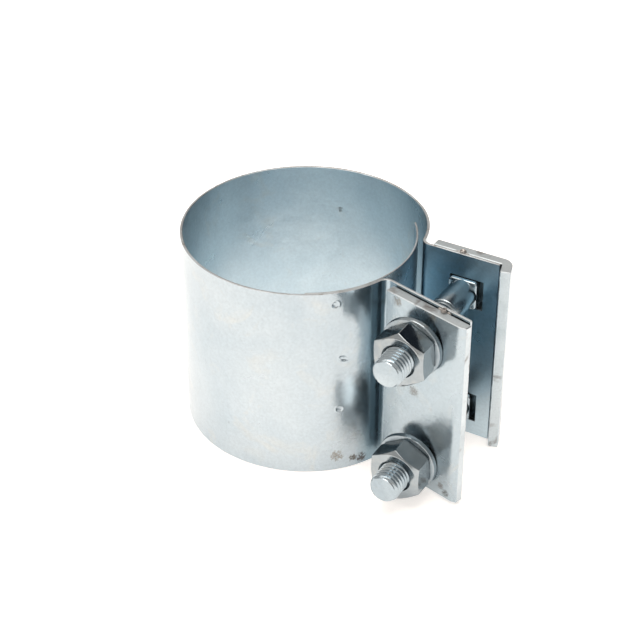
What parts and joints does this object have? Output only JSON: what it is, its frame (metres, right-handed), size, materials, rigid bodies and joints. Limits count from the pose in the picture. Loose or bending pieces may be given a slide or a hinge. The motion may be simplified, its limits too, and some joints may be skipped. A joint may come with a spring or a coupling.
{
  "type": "pipe repair clamp",
  "caption": "Open sheet-steel band with lugs, stiffening bars and an inner bridge plate, drawn together by square-neck bolts and nuts around a pipe.",
  "frame": {"origin": "on the axis of the pipe bore, at the plane of the bottom rim", "axes": "+Z along the pipe bore, upwards; +X along the rear lug, away from the bore; +Y towards the bolt heads, so the bolts' threaded ends point along -Y"},
  "size_m": [0.1332, 0.0992, 0.0826],
  "materials": {
    "band_steel": "zinc-plated sheet, satin with a blue tint",
    "bridge_steel": "zinc-plated sheet, satin",
    "bar_steel": "zinc-plated flat bar, satin",
    "bolt_steel": "zinc-plated, semi-gloss",
    "nut_steel": "zinc-plated, semi-gloss",
    "washer_steel": "zinc-plated, satin",
    "weld_steel": "zinc-plated weld metal, rough"
  },
  "bodies": {
    "band_back": {"band_back": "band_steel"},
    "rear_arm": {"band_rear_arm": "band_steel", "rear_clamp_plate": "bar_steel", "upper_bolt": "bolt_steel", "lower_bolt": "bolt_steel", "rear_tack_welds": "weld_steel"},
    "front_arm": {"band_front_arm": "band_steel", "bridge_plate": "bridge_steel", "front_clamp_plate": "bar_steel", "spot_welds": "weld_steel", "front_tack_welds": "weld_steel"},
    "upper_washer": {"upper_washer": "washer_steel"},
    "lower_washer": {"lower_washer": "washer_steel"},
    "upper_nut": {"upper_nut": "nut_steel"},
    "lower_nut": {"lower_nut": "nut_steel"}
  },
  "joints": [
    {"name": "rear_arm_flex", "type": "hinge", "parent": "band_back", "child": "rear_arm", "pos_m": [-0.02405, 0.04166, 0.041], "axis": [0, 0, -1], "range_deg": [0, 7.2]},
    {"name": "front_arm_flex", "type": "hinge", "parent": "band_back", "child": "front_arm", "pos_m": [-0.01164, -0.04667, 0.041], "axis": [0, 0, 1], "range_deg": [0, 7.2]},
    {"name": "upper_washer_slide", "type": "slide", "parent": "rear_arm", "child": "upper_washer", "axis": [0, 1, 0], "range_m": [0, 0.02311]},
    {"name": "lower_washer_slide", "type": "slide", "parent": "rear_arm", "child": "lower_washer", "axis": [0, 1, 0], "range_m": [0, 0.02311]},
    {"name": "upper_nut_spin", "type": "hinge", "parent": "upper_washer", "child": "upper_nut", "pos_m": [0.0626, -0.0365, 0.0658], "axis": [0, 1, 0], "range_deg": [0, 4752]},
    {"name": "lower_nut_spin", "type": "hinge", "parent": "lower_washer", "child": "lower_nut", "pos_m": [0.0626, -0.0365, 0.013], "axis": [0, 1, 0], "range_deg": [0, 4752]}
  ],
  "couplings": [
    {"joint": "lower_nut_spin", "follows": "upper_nut_spin", "ratio": 1},
    {"joint": "upper_washer_slide", "follows": "upper_nut_spin", "m_per_rad": 0.00027852},
    {"joint": "lower_washer_slide", "follows": "upper_nut_spin", "m_per_rad": 0.00027852},
    {"joint": "rear_arm_flex", "follows": "upper_nut_spin", "ratio": 0.001515},
    {"joint": "front_arm_flex", "follows": "upper_nut_spin", "ratio": 0.001515}
  ]
}
